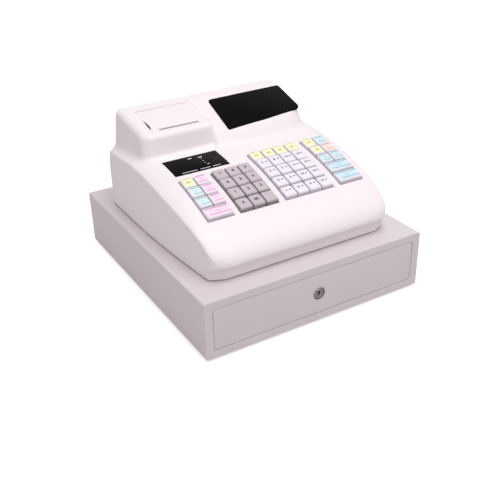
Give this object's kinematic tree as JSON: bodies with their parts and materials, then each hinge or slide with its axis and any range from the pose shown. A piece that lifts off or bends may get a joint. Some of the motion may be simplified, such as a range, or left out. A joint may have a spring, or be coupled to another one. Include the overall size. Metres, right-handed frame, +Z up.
{
  "type": "electronic cash register with drawer",
  "caption": "Electronic cash register with a sloping keyboard, tilted black display, built-in receipt printer and a locking cash drawer under it.",
  "frame": {"origin": "middle of the cabinet's footprint, on the surface its feet stand on", "axes": "+Z up, +Y to the back, the drawer opens along -Y"},
  "size_m": [0.33, 0.37, 0.2247],
  "materials": {
    "cabinet_paint": "semi-gloss powder coat, warm white",
    "case_plastic": "fine textured ABS, warm white",
    "zinc_steel": "zinc plated sheet steel",
    "tray_plastic": "dark grey polystyrene",
    "lock_chrome": "nickel plated zinc",
    "black_rubber": "soft black rubber",
    "frame_plastic": "dark grey ABS",
    "dome_rubber": "silicone dome sheet",
    "board_green": "solder mask on fibreglass",
    "black_lens": "smoked black acrylic, polished",
    "paper_white": "thermal paper",
    "core_iron": "varnished laminated core",
    "key_yellow": "label under a satin cap",
    "key_cyan": "label under a satin cap",
    "key_pink": "label under a satin cap",
    "key_red": "label under a satin cap",
    "key_blue": "label under a satin cap",
    "key_white": "satin cap",
    "key_grey": "satin cap, grey mauve"
  },
  "bodies": {
    "register": {"cabinet_shell": "cabinet_paint", "cabinet_feet": "black_rubber", "latch_unit": "zinc_steel", "base_case": "case_plastic", "upper_case": "case_plastic", "key_frame": "frame_plastic", "dome_sheet": "dome_rubber", "keyboard_board": "board_green", "status_window": "black_lens", "display_window": "black_lens", "display_boards": "board_green", "printer_unit": "frame_plastic", "main_board": "board_green", "transformer": "core_iron", "cord_gland": "black_rubber", "case_screws": "zinc_steel"},
    "drawer": {"drawer_pan": "zinc_steel", "drawer_front": "cabinet_paint", "till_insert": "tray_plastic", "lock_housing": "lock_chrome"},
    "lock": {"lock_plug": "lock_chrome"},
    "clips": {"bill_clips": "tray_plastic"},
    "printer_cover": {"printer_cover": "case_plastic"},
    "platen": {"platen_roller": "black_rubber"},
    "paper_roll": {"paper_roll": "paper_white"},
    "key_left_yellow": {"key_left_yellow": "key_yellow"},
    "key_left_cyan_1": {"key_left_cyan_1": "key_cyan"},
    "key_left_cyan_2": {"key_left_cyan_2": "key_cyan"},
    "key_left_pink_1": {"key_left_pink_1": "key_pink"},
    "key_left_pink_2": {"key_left_pink_2": "key_pink"},
    "key_left_pink_3": {"key_left_pink_3": "key_pink"},
    "key_left_wide": {"key_left_wide": "key_pink"},
    "key_7": {"key_7": "key_grey"},
    "key_8": {"key_8": "key_grey"},
    "key_9": {"key_9": "key_grey"},
    "key_4": {"key_4": "key_grey"},
    "key_5": {"key_5": "key_grey"},
    "key_6": {"key_6": "key_grey"},
    "key_1": {"key_1": "key_grey"},
    "key_2": {"key_2": "key_grey"},
    "key_3": {"key_3": "key_grey"},
    "key_0": {"key_0": "key_grey"},
    "key_00": {"key_00": "key_grey"},
    "key_point": {"key_point": "key_grey"},
    "key_right_yellow_1": {"key_right_yellow_1": "key_yellow"},
    "key_right_blue_1": {"key_right_blue_1": "key_blue"},
    "key_right_yellow_2": {"key_right_yellow_2": "key_yellow"},
    "key_right_red": {"key_right_red": "key_red"},
    "key_right_blue_2": {"key_right_blue_2": "key_blue"},
    "key_right_blue_3": {"key_right_blue_3": "key_blue"},
    "key_right_wide_1": {"key_right_wide_1": "key_blue"},
    "key_right_wide_2": {"key_right_wide_2": "key_blue"},
    "key_department_1": {"key_department_1": "key_yellow"},
    "key_department_2": {"key_department_2": "key_yellow"},
    "key_department_3": {"key_department_3": "key_yellow"},
    "key_department_4": {"key_department_4": "key_yellow"},
    "keys_department_column_1": {"keys_department_column_1": "key_white"},
    "keys_department_column_2": {"keys_department_column_2": "key_white"},
    "keys_department_column_3": {"keys_department_column_3": "key_white"},
    "keys_department_column_4": {"keys_department_column_4": "key_white"}
  },
  "joints": [
    {"name": "drawer_slide", "type": "slide", "parent": "register", "child": "drawer", "axis": [0, -1, 0], "range_m": [0, 0.25]},
    {"name": "lock_turn", "type": "hinge", "parent": "drawer", "child": "lock", "pos_m": [0, -0.185, 0.0439], "axis": [0, -1, 0], "range_deg": [0, 90]},
    {"name": "clips_lift", "type": "hinge", "parent": "drawer", "child": "clips", "pos_m": [0, 0.1382, 0.05151], "axis": [-1, 0, 0], "range_deg": [0, 45], "stiffness_Nm_per_rad": 0.12, "springref_deg": -17.19},
    {"name": "printer_cover_hinge", "type": "hinge", "parent": "register", "child": "printer_cover", "pos_m": [-0.068, 0.10673, 0.21971], "axis": [-1, 0, 0], "range_deg": [0, 85]},
    {"name": "platen_turn", "type": "hinge", "parent": "register", "child": "platen", "pos_m": [-0.068, 0.06173, 0.19995], "axis": [1, 0, 0], "continuous": true},
    {"name": "paper_roll_turn", "type": "hinge", "parent": "register", "child": "paper_roll", "pos_m": [-0.068, 0.09084, 0.18767], "axis": [1, 0, 0], "continuous": true},
    {"name": "press_left_yellow", "type": "slide", "parent": "register", "child": "key_left_yellow", "axis": [0, 0.2736, -0.9619], "range_m": [0, 0.003], "stiffness_N_per_m": 200, "springref_m": -0.002},
    {"name": "press_left_cyan_1", "type": "slide", "parent": "register", "child": "key_left_cyan_1", "axis": [0, 0.2736, -0.9619], "range_m": [0, 0.003], "stiffness_N_per_m": 200, "springref_m": -0.002},
    {"name": "press_left_cyan_2", "type": "slide", "parent": "register", "child": "key_left_cyan_2", "axis": [0, 0.2736, -0.9619], "range_m": [0, 0.003], "stiffness_N_per_m": 200, "springref_m": -0.002},
    {"name": "press_left_pink_1", "type": "slide", "parent": "register", "child": "key_left_pink_1", "axis": [0, 0.2736, -0.9619], "range_m": [0, 0.003], "stiffness_N_per_m": 200, "springref_m": -0.002},
    {"name": "press_left_pink_2", "type": "slide", "parent": "register", "child": "key_left_pink_2", "axis": [0, 0.2736, -0.9619], "range_m": [0, 0.003], "stiffness_N_per_m": 200, "springref_m": -0.002},
    {"name": "press_left_pink_3", "type": "slide", "parent": "register", "child": "key_left_pink_3", "axis": [0, 0.2736, -0.9619], "range_m": [0, 0.003], "stiffness_N_per_m": 200, "springref_m": -0.002},
    {"name": "press_left_wide", "type": "slide", "parent": "register", "child": "key_left_wide", "axis": [0, 0.2736, -0.9619], "range_m": [0, 0.003], "stiffness_N_per_m": 200, "springref_m": -0.002},
    {"name": "press_7", "type": "slide", "parent": "register", "child": "key_7", "axis": [0, 0.2736, -0.9619], "range_m": [0, 0.003], "stiffness_N_per_m": 200, "springref_m": -0.002},
    {"name": "press_8", "type": "slide", "parent": "register", "child": "key_8", "axis": [0, 0.2736, -0.9619], "range_m": [0, 0.003], "stiffness_N_per_m": 200, "springref_m": -0.002},
    {"name": "press_9", "type": "slide", "parent": "register", "child": "key_9", "axis": [0, 0.2736, -0.9619], "range_m": [0, 0.003], "stiffness_N_per_m": 200, "springref_m": -0.002},
    {"name": "press_4", "type": "slide", "parent": "register", "child": "key_4", "axis": [0, 0.2736, -0.9619], "range_m": [0, 0.003], "stiffness_N_per_m": 200, "springref_m": -0.002},
    {"name": "press_5", "type": "slide", "parent": "register", "child": "key_5", "axis": [0, 0.2736, -0.9619], "range_m": [0, 0.003], "stiffness_N_per_m": 200, "springref_m": -0.002},
    {"name": "press_6", "type": "slide", "parent": "register", "child": "key_6", "axis": [0, 0.2736, -0.9619], "range_m": [0, 0.003], "stiffness_N_per_m": 200, "springref_m": -0.002},
    {"name": "press_1", "type": "slide", "parent": "register", "child": "key_1", "axis": [0, 0.2736, -0.9619], "range_m": [0, 0.003], "stiffness_N_per_m": 200, "springref_m": -0.002},
    {"name": "press_2", "type": "slide", "parent": "register", "child": "key_2", "axis": [0, 0.2736, -0.9619], "range_m": [0, 0.003], "stiffness_N_per_m": 200, "springref_m": -0.002},
    {"name": "press_3", "type": "slide", "parent": "register", "child": "key_3", "axis": [0, 0.2736, -0.9619], "range_m": [0, 0.003], "stiffness_N_per_m": 200, "springref_m": -0.002},
    {"name": "press_0", "type": "slide", "parent": "register", "child": "key_0", "axis": [0, 0.2736, -0.9619], "range_m": [0, 0.003], "stiffness_N_per_m": 200, "springref_m": -0.002},
    {"name": "press_00", "type": "slide", "parent": "register", "child": "key_00", "axis": [0, 0.2736, -0.9619], "range_m": [0, 0.003], "stiffness_N_per_m": 200, "springref_m": -0.002},
    {"name": "press_point", "type": "slide", "parent": "register", "child": "key_point", "axis": [0, 0.2736, -0.9619], "range_m": [0, 0.003], "stiffness_N_per_m": 200, "springref_m": -0.002},
    {"name": "press_right_yellow_1", "type": "slide", "parent": "register", "child": "key_right_yellow_1", "axis": [0, 0.2736, -0.9619], "range_m": [0, 0.003], "stiffness_N_per_m": 200, "springref_m": -0.002},
    {"name": "press_right_blue_1", "type": "slide", "parent": "register", "child": "key_right_blue_1", "axis": [0, 0.2736, -0.9619], "range_m": [0, 0.003], "stiffness_N_per_m": 200, "springref_m": -0.002},
    {"name": "press_right_yellow_2", "type": "slide", "parent": "register", "child": "key_right_yellow_2", "axis": [0, 0.2736, -0.9619], "range_m": [0, 0.003], "stiffness_N_per_m": 200, "springref_m": -0.002},
    {"name": "press_right_red", "type": "slide", "parent": "register", "child": "key_right_red", "axis": [0, 0.2736, -0.9619], "range_m": [0, 0.003], "stiffness_N_per_m": 200, "springref_m": -0.002},
    {"name": "press_right_blue_2", "type": "slide", "parent": "register", "child": "key_right_blue_2", "axis": [0, 0.2736, -0.9619], "range_m": [0, 0.003], "stiffness_N_per_m": 200, "springref_m": -0.002},
    {"name": "press_right_blue_3", "type": "slide", "parent": "register", "child": "key_right_blue_3", "axis": [0, 0.2736, -0.9619], "range_m": [0, 0.003], "stiffness_N_per_m": 200, "springref_m": -0.002},
    {"name": "press_right_wide_1", "type": "slide", "parent": "register", "child": "key_right_wide_1", "axis": [0, 0.2736, -0.9619], "range_m": [0, 0.003], "stiffness_N_per_m": 200, "springref_m": -0.002},
    {"name": "press_right_wide_2", "type": "slide", "parent": "register", "child": "key_right_wide_2", "axis": [0, 0.2736, -0.9619], "range_m": [0, 0.003], "stiffness_N_per_m": 200, "springref_m": -0.002},
    {"name": "press_department_1", "type": "slide", "parent": "register", "child": "key_department_1", "axis": [0, 0.2736, -0.9619], "range_m": [0, 0.003], "stiffness_N_per_m": 200, "springref_m": -0.002},
    {"name": "press_department_2", "type": "slide", "parent": "register", "child": "key_department_2", "axis": [0, 0.2736, -0.9619], "range_m": [0, 0.003], "stiffness_N_per_m": 200, "springref_m": -0.002},
    {"name": "press_department_3", "type": "slide", "parent": "register", "child": "key_department_3", "axis": [0, 0.2736, -0.9619], "range_m": [0, 0.003], "stiffness_N_per_m": 200, "springref_m": -0.002},
    {"name": "press_department_4", "type": "slide", "parent": "register", "child": "key_department_4", "axis": [0, 0.2736, -0.9619], "range_m": [0, 0.003], "stiffness_N_per_m": 200, "springref_m": -0.002},
    {"name": "press_department_column_1", "type": "slide", "parent": "register", "child": "keys_department_column_1", "axis": [0, 0.2736, -0.9619], "range_m": [0, 0.003], "stiffness_N_per_m": 200, "springref_m": -0.002},
    {"name": "press_department_column_2", "type": "slide", "parent": "register", "child": "keys_department_column_2", "axis": [0, 0.2736, -0.9619], "range_m": [0, 0.003], "stiffness_N_per_m": 200, "springref_m": -0.002},
    {"name": "press_department_column_3", "type": "slide", "parent": "register", "child": "keys_department_column_3", "axis": [0, 0.2736, -0.9619], "range_m": [0, 0.003], "stiffness_N_per_m": 200, "springref_m": -0.002},
    {"name": "press_department_column_4", "type": "slide", "parent": "register", "child": "keys_department_column_4", "axis": [0, 0.2736, -0.9619], "range_m": [0, 0.003], "stiffness_N_per_m": 200, "springref_m": -0.002}
  ],
  "couplings": [
    {"joint": "platen_turn", "follows": "paper_roll_turn", "ratio": 5}
  ]
}
